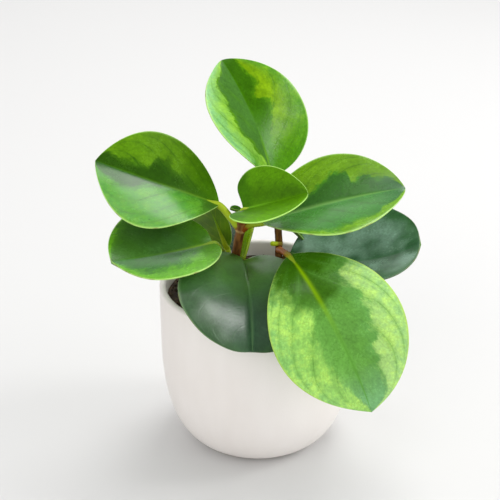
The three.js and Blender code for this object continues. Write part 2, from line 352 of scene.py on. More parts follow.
# side veins that curve from the base to the tip, along lines of equal share of the width
def makeVeinGroup():
    group, given, out = newGroup("leafVeins", [
        ("Along", "Float", 0.5), ("Across", "Float", 0.0), ("Number", "Float", 3.0),
        ("Width", "Float", 0.08), ("Seed", "Float", 0.0),
    ], [("Mask", "Float"), ("Band", "Float")])
    place = put("CombineXYZ", {0: given["Along"], 1: given["Across"], 2: given["Seed"]}).outputs[0]
    side = calc("ABSOLUTE", given["Across"])
    # each vein leaves the midrib at a slant and bends round beside the margin
    slant = calc("MULTIPLY_ADD", side, -0.5, calc("ADD", given["Along"], 0.117))
    bent = calc("MULTIPLY_ADD", calc("POWER", side, 6.0), -0.3, slant)
    moved = sway(grain(place, 3.0, 2.0), 0.06, bent)
    line = calc("PINGPONG", product(moved, given["Number"]), 0.5)
    thin = ramp(line, given["Width"], 0.0)
    inner = ramp(side, 0.03, 0.2)
    outer = ramp(side, 0.98, 0.88)
    ends = product(ramp(given["Along"], 0.04, 0.22),
                ramp(given["Along"], 0.97, 0.8))
    patchy = ramp(grain(place, 5.0, 2.0), 0.3, 0.62)
    shown = product(ends, product(inner, outer))
    mask = product(product(thin, patchy), shown)
    feed(mask, out["Mask"])
    feed(product(ramp(line, 0.3, 0.02), shown), out["Band"])
    return group


# small round marks, far apart
def makeSpeckGroup():
    group, given, out = newGroup("specks", [
        ("Place", "Vector", None), ("Scale", "Float", 90.0), ("Size", "Float", 0.05),
        ("Amount", "Float", 0.3),
    ], [("Mask", "Float")])
    cells = put("TexVoronoi", {"Vector": given["Place"], "Scale": given["Scale"]})
    spot = ramp(cells.outputs["Distance"], given["Size"], 0.0)
    pickOut = put("SeparateXYZ", {0: cells.outputs["Color"]}).outputs[0]
    chosen = calc("LESS_THAN", pickOut, given["Amount"])
    feed(product(spot, chosen), out["Mask"])
    return group


patchGroup = makePatchGroup()
veinGroup = makeVeinGroup()
speckGroup = makeSpeckGroup()


def curveOver(value, points):
    # a drawn curve of [along, width] points
    shape = put("FloatCurve", {"Value": value})
    line = shape.mapping.curves[0]
    line.points[0].location = points[0]
    line.points[-1].location = points[-1]
    for point in points[1:-1]:
        line.points.new(*point)
    shape.mapping.update()
    return shape.outputs[0]


# floor

deselectAll()
bpy.ops.mesh.primitive_circle_add(vertices=96, radius=4, fill_type="NGON")
floor = bpy.context.object
floor.name = "floor"
floorMaterial, shader = newMaterial("floorPaint")
tone = grain(objectPlace(), 3.0)
feed(0.9, shader["Roughness"])
floorTones = [tuple(part * share for part in light["floor"]) + (1,) for share in (0.99, 1)]
feed(mixColour(tone, *floorTones), shader["Base Color"])
floor.data.materials.append(floorMaterial)

world = bpy.data.worlds.new("studio")
scene.world = world
world.use_nodes = True
world.cycles.sampling_method = "NONE"  # so that shiny surfaces see only their own sky
drawing["tree"] = world.node_tree
background = world.node_tree.nodes["Background"]
direction = put("SeparateXYZ", {0: put("TexCoord").outputs["Generated"]}).outputs
# brighter behind and above the plant, darker on the camera's side
towardsBack = ramp(direction[1], -0.7, 0.7)
mattStrength = mixValue(towardsBack, light["skyFront"], light["skyBack"])
glossStrength = mixValue(towardsBack, light["glossFront"], light["glossBack"])
isGlossy = put("LightPath").outputs["Is Glossy Ray"]
strength = mixValue(isGlossy, mattStrength, glossStrength)
feed(strength, background.inputs["Strength"])
background.inputs["Color"].default_value = (1, 1, 1, 1)
print("camera, floor and light ready")


# pot

pot = {
    "radius": 50, "height": 88, "wall": 3.4, "floor": 5,
    "footRadius": 24, "bowlHeight": 58.5, "roundness": 2.45, "innerFootRadius": 22,
    "recessRadius": 20.5, "recessDepth": 0.9, "sides": 128,
    "bowlSteps": 22, "lipSteps": 10,
    "colour": colour(236, 231, 227), "shade": colour(229, 223, 218),
    "speck": colour(178, 166, 150), "bareFoot": colour(206, 198, 186),
}


def bowlRings(footRadius, footHeight, radius, steps):
    rings = []
    for i in range(steps + 1):
        turn = math.pi / 2 * i / steps
        out = math.sin(turn) ** (2 / pot["roundness"])
        up = 1 - max(math.cos(turn), 0) ** (2 / pot["roundness"])
        rings.append([footRadius + (radius - footRadius) * out,
                      footHeight + (pot["bowlHeight"] - footHeight) * up])
    return rings


def makePotMaterial():
    material, shader = newMaterial("matteCeramic")
    place = objectPlace()
    cloud = grain(place, 26.0, 3.0)
    streak = grain(place, 60.0, 3.0, 0.5, (1.0, 1.0, 0.16))
    tone = calc("MULTIPLY_ADD", streak, 0.5, product(cloud, 0.5))
    body = mixColour(ramp(tone, 0.3, 0.7), pot["shade"], pot["colour"])
    marks = useGroup(speckGroup, {"Place": place, "Scale": 240.0, "Size": 0.09, "Amount": 0.05})["Mask"]
    body = cover(body, pot["speck"], marks, 0.35)
    # the foot stays rougher and a little greyer, where it is not glazed
    height = put("SeparateXYZ", {0: place}).outputs[2]
    foot = ramp(height, 0.0022, 0.0008)
    body = mixColour(foot, body, pot["bareFoot"])
    rough = mixValue(foot, mixValue(cloud, 0.42, 0.56), 0.85)
    pits = calc("MULTIPLY_ADD", cloud, 2.0, grain(place, 900.0, 2.0))
    coat(shader, body, rough, pits, 0.12, 0.00025)
    feed(1.45, shader["IOR"])
    return material


def makePot():
    inner = pot["radius"] - pot["wall"]
    lip = pot["wall"] / 2
    rim = []
    for i in range(pot["lipSteps"] + 1):
        turn = math.pi * i / pot["lipSteps"]
        rim.append([pot["radius"] - lip + lip * math.cos(turn), pot["height"] - lip + lip * math.sin(turn)])
    wallSteps = [[pot["radius"], height] for height in (66, 74, 82)]
    innerSteps = [[inner, height] for height in (82, 74, 66)]
    recess = pot["recessRadius"]
    deep = pot["recessDepth"]
    rings = [[0.5, deep], [8, deep], [recess - 1, deep], [recess, 0.2], [recess + 0.6, 0]]
    rings += bowlRings(pot["footRadius"], 0, pot["radius"], pot["bowlSteps"])
    rings += wallSteps + rim + innerSteps
    rings += bowlRings(pot["innerFootRadius"], pot["floor"], inner, pot["bowlSteps"])[::-1]
    rings += [[10, pot["floor"]], [0.5, pot["floor"]]]
    return turnedPiece("whitePot", rings, pot["sides"])


whitePot = makePot()
handOver(whitePot, "pot", [makePotMaterial()])


# soil

soil = {
    "gap": 0.3, "edgeHeight": 79.5, "shoulderHeight": 80.6, "shoulderShare": 0.55, "crownHeight": 81,
    "crumbs": 1150, "crumbSize": (0.5, 1.5), "seed": 11, "lumpsAbove": 78,
    "dark": colour(40, 29, 20), "light": colour(92, 70, 48), "fibre": colour(128, 100, 66),
}


def soilHeight(radius, edge):
    shoulder = edge * soil["shoulderShare"]
    if radius < shoulder:
        share = radius / shoulder
        return soil["crownHeight"] + (soil["shoulderHeight"] - soil["crownHeight"]) * share
    share = (radius - shoulder) / (edge - shoulder)
    return soil["shoulderHeight"] + (soil["edgeHeight"] - soil["shoulderHeight"]) * share


def makeSoilMaterial():
    material, shader = newMaterial("pottingSoil")
    place = objectPlace()
    clump = grain(place, 160.0, 4.0, 0.6)
    fine = grain(place, 900.0, 3.0, 0.6)
    tone = calc("MULTIPLY_ADD", fine, 0.6, product(clump, 0.5))
    body = mixColour(ramp(tone, 0.4, 0.75), soil["dark"], soil["light"])
    fibre = grain(place, 300.0, 2.0, 0.5, (1.0, 0.22, 0.7))
    body = cover(body, soil["fibre"], ramp(fibre, 0.66, 0.72), 0.6)
    coat(shader, body, mixValue(fine, 0.8, 1.0), fine, 0.6, 0.0006)
    return material


def makeSoil():
    chance = random.Random(soil["seed"])
    edge = pot["radius"] - pot["wall"] - soil["gap"]
    rings = [[0.5, pot["floor"] + soil["gap"]], [10, pot["floor"] + soil["gap"]]]
    rings += bowlRings(pot["innerFootRadius"] - soil["gap"], pot["floor"] + soil["gap"], edge, 12)
    rings += [[edge, 70]]
    steps = 34
    rings += [[max(edge * (1 - i / steps), 0.4), soilHeight(edge * (1 - i / steps), edge)]
              for i in range(steps + 1)]
    mound = turnedPiece("pottingMix", rings, 112)
    for corner in mound.data.vertices:
        radius = math.hypot(corner.co.x, corner.co.y) / mm
        if corner.co.z > soil["lumpsAbove"] * mm:
            lumps = noise.noise(corner.co * 190) * 0.9 + noise.noise(corner.co * 520) * 0.5
            corner.co.z += (lumps - 0.5) * mm * min(1, (edge - radius) / 2 + 0.25)

    crumbs = []
    for kind in range(5):
        deselectAll()
        bpy.ops.mesh.primitive_ico_sphere_add(subdivisions=2, radius=mm)
        crumb = bpy.context.object
        for corner in crumb.data.vertices:
            corner.co *= 1 + 0.55 * noise.noise(corner.co * 900 + Vector((kind * 7.1, 0, 0)))
        crumbs.append(crumb)
    copies = []
    for i in range(soil["crumbs"]):
        original = crumbs[i % len(crumbs)]
        copy = bpy.data.objects.new("crumb", original.data.copy())
        radius = (edge - 1.2) * math.sqrt(chance.random())
        turn = chance.uniform(0, 2 * math.pi)
        size = chance.uniform(*soil["crumbSize"]) * chance.uniform(0.6, 1)
        height = soilHeight(radius, edge) + chance.uniform(-0.5, 0.4) * size - 0.1
        spin = Matrix.Rotation(chance.uniform(0, 6.28), 4, Vector((
            chance.uniform(-1, 1), chance.uniform(-1, 1), chance.uniform(-1, 1))).normalized())
        stretch = Matrix.Diagonal((size, size * chance.uniform(0.6, 1), size * chance.uniform(0.45, 0.9), 1))
        copy.data.transform(Matrix.Translation((
            radius * math.cos(turn) * mm, radius * math.sin(turn) * mm, height * mm)) @ spin @ stretch)
        bpy.context.collection.objects.link(copy)
        copies.append(copy)
    for crumb in crumbs:
        bpy.data.objects.remove(crumb)
    pick(mound, *copies)
    bpy.ops.object.join()
    bpy.ops.object.shade_smooth_by_angle(angle=math.radians(40))
    return mound


pottingMix = makeSoil()
handOver(pottingMix, "soil", [makeSoilMaterial()])


# stems

stems = {
    "leftStem": {
        "node": "stem_left", "radius": 2.3,
        "points": [[-15, 1, 64], [-14, 0, 82], [-12, -2, 98], [-9.8, -4.4, 112], [-7.8, -6.4, 125]],
        "joints": [0.33, 0.39, 0.52, 0.885],
    },
    "rightStem": {
        "node": "stem_right", "radius": 1.9,
        "points": [[9, 12, 64], [10, 12, 84], [10.8, 12, 102], [9.8, 12.5, 116], [8, 13, 129]],
        "joints": [0.4, 0.56, 0.8],
    },
}
bark = {
    "dark": colour(84, 46, 14), "light": colour(140, 92, 36), "joint": colour(184, 156, 96),
    "green": colour(112, 112, 40), "sides": 28, "rings": 150, "swell": 0.16,
    "cutFrom": 0.97,
}


def makeBarkMaterial(name, joints):
    material, shader = newMaterial(name)
    place = objectPlace()
    along = grownPlace()[0]
    streak = grain(place, 420.0, 3.0, 0.55, (1.0, 1.0, 0.22))
    mottle = grain(place, 260.0, 3.0)
    body = mixColour(ramp(streak, 0.35, 0.68), bark["dark"], bark["light"])
    body = cover(body, bark["green"], ramp(mottle, 0.5, 0.75), 0.35)
    scars = None
    for joint in joints:
        near = ramp(calc("ABSOLUTE", calc("SUBTRACT", along, joint)), 0.02, 0.004)
        scars = near if scars is None else calc("MAXIMUM", scars, near)
    patchy = product(scars, ramp(mottle, 0.3, 0.6))
    body = cover(body, bark["joint"], patchy, 0.8)
    coat(shader, body, mixValue(mottle, 0.45, 0.7), streak, 0.35, 0.0005)
    return material


def makeStem(name, stem):
    def radiusAt(t):
        swell = sum(bump(t, joint, 0.012) for joint in stem["joints"])
        end = math.sqrt(max(1 - (max(t - bark["cutFrom"], 0) / (1 - bark["cutFrom"])) ** 2, 0.02))
        base = stem["radius"] * (1 + bark["swell"] * swell) * end

        def around(turn):
            ridge = noise.noise(Vector((math.cos(turn) * 1.4, math.sin(turn) * 1.4, t * 26)))
            return base * (1 + 0.07 * ridge)
        return around
    tube = sweptTube(name, stem["points"], radiusAt, bark["sides"], bark["rings"])
    handOver(tube, stem["node"], [makeBarkMaterial(name + "Bark", stem["joints"])])


for name, stem in stems.items():
    makeStem(name, stem)


# leaves

plainLeaf = {
    "lobe": 0, "sinus": 0.25, "closing": (0, 0), "fullness": 1.3, "taper": 0, "tip": 0,
    "fold": 10, "curl": 0, "bend": 0, "twist": 0, "thickness": 1.6, "edge": 0.6,
    "rows": 84, "columns": 22, "stalk": 1.5, "ribRound": 1.3, "ripple": 0.25,
    "riding": 0, "crease": 0, "sunk": 0, "flatTip": 0, "ribEnd": 0.84,
}
outline = {"tipSpread": 0.35, "shutTurn": 0.22, "shutSpread": 0.16}
skinShape = {
    "steps": 10,  # to follow the curl outwards
    "rimColumns": 3, "rimShare": 0.55, "mostRim": 0.4, "crowding": 1.15,
    "grooveDepth": 0.05, "grooveWidth": 0.9, "creaseWidth": 1.3, "waveLength": 17,
}


def leafAxes(leaf):
    heading, pitch, roll = (math.radians(leaf[key]) for key in ("heading", "pitch", "roll"))
    flat = math.cos(pitch)
    along = Vector((flat * math.cos(heading), flat * math.sin(heading), math.sin(pitch)))
    level = Vector((-math.sin(heading), math.cos(heading), 0))
    face = along.cross(level)
    left = level * math.cos(roll) + face * math.sin(roll)
    out = face * math.cos(roll) - level * math.sin(roll)
    return along, left, out


def marginAt(leaf, turn, side):
    middle = (leaf["length"] - leaf["lobe"]) / 2
    reach = (leaf["length"] + leaf["lobe"]) / 2
    notch = leaf["lobe"] * bump(turn, 0, leaf["sinus"])
    halfWidth = sum(leaf["widths"]) / 2
    closing = leaf["closing"][0 if side > 0 else 1]
    shut = closing / halfWidth * bump(turn, outline["shutTurn"], outline["shutSpread"]) * min(turn * 8, 1)
    drawn = leaf["tip"] * bump(turn, math.pi, outline["tipSpread"])
    along = middle - reach * math.cos(turn) + notch + drawn
    out = max(math.sin(turn), 0) ** leaf["fullness"] * (1 + leaf["taper"] * math.cos(turn)) - shut
    return along, out


def bladePoint(leaf, axes, along, across, side, lift):
    # a point of the blade in mm, lift above the upper face
    direction, leftward, outward = axes
    bend = math.radians(leaf["bend"]) * along / leaf["length"]
    run = along * math.sin(bend) / bend if bend else along
    drop = along * (1 - math.cos(bend)) / bend if bend else 0
    raised = direction * math.sin(bend) + outward * math.cos(bend)
    twist = math.radians(leaf["twist"]) * along / leaf["length"]
    left = leftward * math.cos(twist) + raised * math.sin(twist)
    out = raised * math.cos(twist) - leftward * math.sin(twist)

    flatter = leaf["flatTip"] * bump(min(along / leaf["length"], 1), 1, 0.3)
    fold = math.radians(leaf["fold"]) * (1 - flatter)
    curl = math.radians(leaf["curl"]) / (sum(leaf["widths"]) / 2)
    reach = abs(across)
    steps = skinShape["steps"]
    sideways = height = 0
    for i in range(steps):
        x = reach * (i + 0.5) / steps
        tilt = fold * (1 - math.exp(-x / leaf["ribRound"])) + curl * x
        sideways += math.cos(tilt) * reach / steps
        height += math.sin(tilt) * reach / steps
    tilt = fold * (1 - math.exp(-reach / leaf["ribRound"])) + curl * reach
    turned = side if across >= 0 else -side
    normal = out * math.cos(tilt) - left * turned * math.sin(tilt)
    return (Vector(leaf["base"]) + direction * run - outward * drop
            + left * turned * sideways + out * height + normal * lift)


def makeSkin(name, leaf, lower):
    # the upper or lower face, out to the middle of the round edge
    axes = leafAxes(leaf)
    count = leaf["columns"]
    rimColumns = skinShape["rimColumns"]
    inside = count - rimColumns
    deselectAll()
    bpy.ops.mesh.primitive_grid_add(x_subdivisions=leaf["rows"], y_subdivisions=count * 2, size=2)
    skin = bpy.context.object
    skin.name = name
    mesh = skin.data
    layer = freshMap(mesh)
    places = []
    columns = []
    for corner in mesh.vertices:
        turn = math.pi * (corner.co.x + 1) / 2
        side = 1 if corner.co.y >= 0 else -1
        column = round(abs(corner.co.y) * count)
        marginAlong, marginOut = marginAt(leaf, turn, side)
        rib = (leaf["length"] + leaf["tip"]) * (1 - math.cos(turn)) / 2
        reach = leaf["widths"][0 if side > 0 else 1] * marginOut
        full = math.hypot(marginAlong - rib, reach) + 1e-9
        edgeShare = min(leaf["edge"] * skinShape["rimShare"] / full, skinShape["mostRim"])
        rimTurn = max(column - inside, 0) * math.pi / (2 * rimColumns)
        inner = (min(column / inside, 1)) ** skinShape["crowding"]
        share = inner * (1 - edgeShare) if rimTurn == 0 else 1 - edgeShare * (1 - math.sin(rimTurn))
        along = rib + (marginAlong - rib) * share
        across = reach * share
        isEnd = turn < 1e-4 or turn > math.pi - 1e-4

        depth = leaf["edge"] / 2 * (1 - math.cos(rimTurn))
        if lower:
            depth = (leaf["thickness"] + (leaf["edge"] - leaf["thickness"]) * inner ** 2) - depth
        if isEnd:
            depth = leaf["edge"] / 2
        lift = leaf["riding"] * -side * bump(turn, 0.2, 0.3) * share
        crease = leaf["crease"] * bump(across, 0, skinShape["creaseWidth"])
        lift -= crease * min(max(along / leaf["length"], 0), 1)
        # the midrib lies in a shallow groove, and the face is never quite even
        groove = skinShape["grooveDepth"] * bump(across, 0, skinShape["grooveWidth"])
        lift -= groove * (1 - along / leaf["length"] * 0.6)
        spot = Vector((along, across * side, leaf["seed"] * 9)) / skinShape["waveLength"]
        lift += leaf["ripple"] * noise.noise(spot) * min(share * 2.5, 1) * (1 + share)
        corner.co = bladePoint(leaf, axes, along, across, side, lift - depth) * mm
        places.append((along / leaf["length"], 0.5 + 0.5 * side * share))
        columns.append(column)
    for loop in mesh.loops:
        layer.data[loop.index].uv = places[loop.vertex_index]
    for face in mesh.polygons:
        isRim = max(columns[i] for i in face.vertices) > inside
        face.material_index = 2 if isRim else 1 if lower else 0
    for finish in leaf["finishes"]:
        mesh.materials.append(finish)
    return skin


def makeBlade(name, leaf):
    upper = makeSkin(name, leaf, False)
    pick(upper, makeSkin(name + "Under", leaf, True))
    bpy.ops.object.join()
    bpy.ops.object.mode_set(mode="EDIT")
    bpy.ops.mesh.select_all(action="SELECT")
    bpy.ops.mesh.remove_doubles(threshold=0.000002)
    bpy.ops.mesh.normals_make_consistent(inside=False)
    bpy.ops.object.mode_set(mode="OBJECT")
    bpy.ops.object.shade_smooth_by_angle(angle=math.radians(70))
    return upper


def makeStalk(name, leaf):
    # the petiole goes on below the blade as its midrib
    axes = leafAxes(leaf)
    points = [Vector(point) for point in leaf["petiole"]]
    petioleLength = sum((b - a).length for a, b in zip(points, points[1:] + [Vector(leaf["base"])]))
    shares = [0, 0.06, 0.14, 0.26, 0.4, 0.55, 0.7, leaf["ribEnd"]]
    for share in shares:
        radius = leaf["stalk"] * (1 - share) ** 1.3
        depth = leaf["thickness"] * (0.5 if share == 0 else 0.72 if share < 0.1 else 0.95)
        depth += leaf["sunk"] + leaf["crease"] * share + radius * 0.05 * (share > 0)
        points.append(bladePoint(leaf, axes, leaf["length"] * share, 0, 1, -depth))
    ribLength = leaf["length"] * leaf["ribEnd"]
    joint = petioleLength / (petioleLength + ribLength)
    # the path is paced by the root of its steps, which the taper follows closely enough

    def radiusAt(t):
        if t < joint:
            foot = 1 + 0.22 * bump(t, 0, joint * 0.25)
            return leaf["stalk"] * foot
        share = (t - joint) / (1 - joint)
        return max(leaf["stalk"] * (1 - share) ** 1.2, 0.12)
    return sweptTube(name, points, radiusAt, 18, 60)


# the scale of each grain of a leaf, per metre, and the colours of its small marks
leafGrain = {
    "cloud": 95.0, "blotch": 330.0, "mottle": 900.0, "bloomAndSheen": 48.0, "underCloud": 110.0,
    "underFine": 1100.0, "rim": 220.0, "blush": 330.0,
    "mark": colour(28, 40, 18), "scuff": colour(196, 214, 180),
}


def makeTopMaterial(name, leaf):
    look = leaf["look"]
    material, shader = newMaterial(name + "Top")
    place = objectPlace()
    along, grown = grownPlace()[:2]
    across = calc("MULTIPLY_ADD", grown, 2.0, -1.0)
    side = calc("ABSOLUTE", across)
    left = calc("GREATER_THAN", across, 0.0)
    width = mixValue(left, *(curveOver(along, look[key]) for key in ("rightZone", "leftZone")))

    def patch(extra, jag, softness, seed):
        return useGroup(patchGroup, {
            "Along": along, "Across": across, "Width": calc("ADD", width, extra),
            "Jag": jag, "Softness": softness, "Seed": leaf["seed"] + seed})["Mask"]

    def halves(leftValue, rightValue):
        return mixValue(left, rightValue, leftValue)
    inner = patch(0.0, look["jag"], look["softness"] * 1.8, 0.0)
    outer = patch(halves(*look["midWidth"]), look["jag"] * 1.3, look["softness"], 4.0)
    dark, mid, bright, margin = (mixColour(left, look[key], look.get(key + "Left", look[key]))
                                 for key in ("dark", "mid", "bright", "margin"))
    bright = cover(bright, margin, ramp(side, 0.5, 1.0), look["marginShare"])
    body = mixColour(outer, bright, mid)
    body = mixColour(inner, body, dark)
    # a tone over the patch towards the tip: partly the leaf's own tip patch, partly a painted sheen
    tip = product(ramp(along, 0.72, 0.98), outer)
    body = cover(body, look["tipToneAndSheen"], tip, look["tipShare"])

    # cloudy tone, fine mottle, and a base that stays greener along its midrib than at its margins
    cloud, blotch, mottle = (grain(place, leafGrain[key], 3.0, roughness)
                             for key, roughness in (("cloud", 0.5), ("blotch", 0.6), ("mottle", 0.6)))
    thick = calc("MULTIPLY_ADD", blotch, 0.6, product(cloud, 0.6))
    clouded = product(calc("SUBTRACT", 1.0, outer), ramp(thick, 0.5, 0.75))
    body = cover(body, look["cloudTone"], clouded, look["cloudShare"])
    leaning = calc("MULTIPLY_ADD", side, -0.5, along)
    streak = grain(put("CombineXYZ", {0: leaning, 1: across, 2: leaf["seed"]}).outputs[0],
                   1.0, 4.0, 0.65, (58.0, 7.0, 1.0))
    wavy = calc("MULTIPLY_ADD", side, look["freshLean"], sway(cloud, 0.3, along))
    base = ramp(wavy, halves(*look["freshEnd"]), look["freshStart"])
    body = cover(body, look["fresh"], base, look["freshShare"])
    veins = useGroup(veinGroup, {"Along": along, "Across": across, "Number": look["veinNumber"],
                                 "Width": 0.05, "Seed": leaf["seed"]})
    body = cover(body, look["vein"], veins["Band"], look["bandShare"])
    body = cover(body, look["vein"], veins["Mask"], look["veinShare"])
    # pale patches away from the margin: partly a waxy bloom, partly a painted sheen, most on the dark leaves
    patchyBloomAndSheen = ramp(grain(place, leafGrain["bloomAndSheen"], 2.0), 0.4, 0.62)
    bloomAndSheen = product(patchyBloomAndSheen, ramp(side, 0.98, 0.6))
    body = cover(body, look["bloomAndSheen"], bloomAndSheen, look["bloomAndSheenShare"])
    tone = 1.0
    for part, share in ((blotch, 0.45), (mottle, 0.7), (cloud, 0.5), (streak, 0.42)):
        tone = sway(part, share, tone)
    body = put("HueSaturation", {"Color": body, "Value": tone}).outputs[0]

    # midrib, broad at the base; then a thin crease; then the rim and a few marks
    reached = calc("POWER", calc("MAXIMUM", along, 0.0), 0.5)
    ribLine = calc("DIVIDE", side, mixValue(reached, look["ribWide"], 0.012))
    rib = calc("EXPONENT", product(product(ribLine, ribLine), -1.0))
    fading = ramp(along, look["ribFade"], 0.05, look["ribTip"], look["ribBase"])
    body = cover(body, look["rib"], rib, fading)
    crease = product(ramp(side, 0.022, 0.008), ramp(along, 0.35, 0.6))
    body = cover(body, look["vein"], crease, look["creaseShare"])
    body = cover(body, look["rim"], ramp(side, 0.955, 0.99), look["rimShare"])
    marks = useGroup(speckGroup, {"Place": place, "Scale": 75.0, "Size": 0.045, "Amount": 0.14})["Mask"]
    body = cover(body, leafGrain["mark"], marks, 0.85)
    slanted = put("Mapping", {"Vector": place, "Rotation": (0.3, 0.5, 0.7), "Scale": (1.0, 0.35, 1.0)})
    scuffs = useGroup(speckGroup, {"Place": slanted.outputs[0], "Scale": 170.0, "Size": 0.06,
                                   "Amount": 0.06})["Mask"]
    body = cover(body, leafGrain["scuff"], scuffs, 0.45)

    rough = calc("MULTIPLY_ADD", cloud, 0.16, look["roughness"] - 0.08)
    heights = calc("MULTIPLY_ADD", streak, 0.22, calc("MULTIPLY_ADD", mottle, 0.1, cloud))
    heights = calc("MULTIPLY_ADD", veins["Mask"], -0.15, heights)
    coat(shader, body, calc("MULTIPLY_ADD", mottle, 0.08, rough), heights, 0.3, 0.0005)
    feed(look["refraction"], shader["IOR"])
    feed(ramp(side, 0.01, 0.07, look["shine"] * 0.2, look["shine"]), shader["Specular IOR Level"])
    return material


def makeUnderMaterial(name, leaf):
    look = leaf["look"]
    material, shader = newMaterial(name + "Under")
    place = objectPlace()
    along, grown = grownPlace()[:2]
    across = calc("MULTIPLY_ADD", grown, 2.0, -1.0)
    cloud = grain(place, leafGrain["underCloud"], 4.0)
    body = mixColour(ramp(cloud, 0.3, 0.7), look["under"], look["underLight"])
    veins = useGroup(veinGroup, {"Along": along, "Across": across, "Number": look["veinNumber"],
                                 "Width": 0.14, "Seed": leaf["seed"]})["Mask"]
    body = cover(body, look["stalkGreen"], veins, 0.35)
    heights = calc("ADD", grain(place, leafGrain["underFine"], 2.0), veins)
    coat(shader, body, mixValue(cloud, 0.5, 0.66), heights, 0.25, 0.0003)
    return material


def makeRimMaterial(name, leaf):
    look = leaf["look"]
    material, shader = newMaterial(name + "Rim")
    tone = grain(objectPlace(), leafGrain["rim"], 3.0)
    body = mixColour(ramp(tone, 0.45, 0.8), look["rim"], look["rimBrown"])
    coat(shader, body, mixValue(tone, 0.35, 0.5))
    return material


def makeStalkMaterial(name, leaf):
    look = leaf["look"]
    material, shader = newMaterial(name + "Stalk")
    along = grownPlace()[0]
    blush = grain(objectPlace(), leafGrain["blush"], 3.0)
    body = mixColour(ramp(sway(blush, 0.07, along), look["blushFrom"], look["blushTo"]),
                     look["stalkBrown"], look["stalkGreen"])
    body = mixColour(ramp(along, 0.45, 0.8), body, look["underLight"])
    coat(shader, body, mixValue(blush, 0.42, 0.56), blush, 0.2, 0.0003)
    feed(0.25, shader["Specular IOR Level"])
    return material


# every three numbers are a colour; zones are [along, width] of the dark patch on each half
plainLook = {
    "dark": (42, 90, 4), "mid": (62, 114, 6), "bright": (88, 140, 10),
    "fresh": (60, 112, 2), "freshStart": 0.02, "freshEnd": (0.22, 0.22), "freshLean": 0.0,
    "freshShare": 0.85, "bloomAndSheen": (84, 118, 96), "bloomAndSheenShare": 0.0,
    "cloudTone": (136, 178, 12), "cloudShare": 0.0,
    "margin": (84, 140, 20), "marginLeft": (84, 140, 20), "marginShare": 0.0,
    "tipToneAndSheen": (90, 140, 90), "tipShare": 0.0,
    "leftZone": [(0, 0.4), (0.5, 0.4), (1, 0.3)], "rightZone": [(0, 0.4), (0.5, 0.4), (1, 0.3)],
    "jag": 0.22, "softness": 0.035, "midWidth": (0.16, 0.16),
    "vein": (44, 92, 4), "veinNumber": 4.4, "veinShare": 0.5, "bandShare": 0.0, "creaseShare": 0.0,
    "rib": (120, 168, 50), "ribBase": 0.5, "ribTip": 0.15, "ribWide": 0.05, "ribFade": 0.6,
    "rim": (170, 214, 110), "rimShare": 0.6, "rimBrown": (126, 120, 60),
    "under": (74, 120, 40), "underLight": (104, 150, 62),
    "stalkBrown": (126, 62, 24), "stalkGreen": (150, 176, 34), "blushFrom": 0.04, "blushTo": 0.2,
    "roughness": 0.22, "shine": 0.5, "refraction": 1.45,
}

leaves = {}
leaves["topLeaf"] = {
    "node": "leaf_top", "slot": "leaf_variegated", "base": [7, 14, 139.5], "heading": 117, "pitch": 59,
    "roll": 31, "length": 64, "widths": [29.5, 33.5], "fullness": 1.2, "taper": 0.16, "tip": 2,
    "fold": 14, "curl": -12, "bend": 22, "twist": -32, "ribRound": 0.5,
    "petiole": [[8.1, 13, 128], [7.4, 13.5, 134]],
    "look": {
        # the left half's dark, bright and margin colours are paled and tinted blue with a painted sheen
        "dark": (52, 102, 1), "darkLeft": (64, 112, 36), "mid": (78, 132, 2), "bright": (108, 150, 1),
        "brightLeft": (120, 174, 58), "cloudShare": 0.35, "margin": (84, 150, 44),
        "marginLeft": (122, 186, 120), "marginShare": 0.85, "cloudTone": (138, 176, 8),
        "vein": (66, 118, 4), "bandShare": 0.25, "veinShare": 0.65, "roughness": 0.19, "shine": 0.28,
        "creaseShare": 0.25, "ribTip": 0.0, "ribBase": 0.65, "ribFade": 0.4, "ribWide": 0.04, "jag": 0.14,
        "softness": 0.03, "midWidth": (0.05, 0.05), "fresh": (70, 134, 4), "freshStart": 0.08,
        "freshEnd": (0.16, 0.7), "freshShare": 0.9,
        "leftZone": [(0, 0.05), (0.14, 0.15), (0.2, 0.3), (0.3, 0.34), (0.34, 0.49), (0.51, 0.46),
                     (0.57, 0.5), (0.66, 0.45), (0.74, 0.52), (0.83, 0.6), (0.89, 0.43), (1, 0.3)],
        "rightZone": [(0, 0.1), (0.17, 0.14), (0.27, 0.16), (0.36, 0.21), (0.48, 0.32), (0.56, 0.38),
                      (0.61, 0.35), (0.64, 0.19), (0.67, 0.2), (0.78, 0.37), (0.85, 0.37), (0.91, 0.4),
                      (0.96, 0.55), (1, 0.9)],
    },
}
leaves["upperLeftLeaf"] = {
    "node": "leaf_upper_left", "slot": "leaf_green", "base": [-19, -2, 131], "heading": 177, "pitch": 19,
    "roll": -14, "length": 64, "widths": [31.5, 28.5], "fullness": 1.6, "fold": 18, "curl": -21,
    "bend": -2, "twist": -28, "petiole": [[-8.7, -5.5, 118.6], [-13.4, -4.2, 124.4]], "stalk": 1.75,
    "look": {
        "dark": (42, 84, 1), "mid": (64, 112, 2), "bright": (88, 138, 2), "darkLeft": (46, 92, 26),
        "midLeft": (66, 134, 26), "brightLeft": (72, 148, 32), "jag": 0.16, "midWidth": (0.08, 0.08),
        "fresh": (62, 112, 1), "freshStart": 0.1, "freshEnd": (0.2, 0.5), "softness": 0.05,
        "cloudShare": 0.35, "cloudTone": (104, 150, 4), "blushFrom": 0.02, "blushTo": 0.06,
        "stalkGreen": (164, 188, 34), "veinShare": 0.7, "bandShare": 0.15,
        "leftZone": [(0, 0.0), (0.5, 0.08), (0.6, 0.16), (0.66, 0.3), (0.76, 0.33), (0.87, 0.4),
                     (1, 0.6)],
        "rightZone": [(0, 0.1), (0.28, 0.24), (0.42, 0.3), (0.5, 0.44), (0.57, 0.38), (0.61, 0.19),
                      (0.74, 0.19), (0.82, 0.24), (0.88, 0.38), (0.95, 0.75), (1, 1.0)],
    },
}
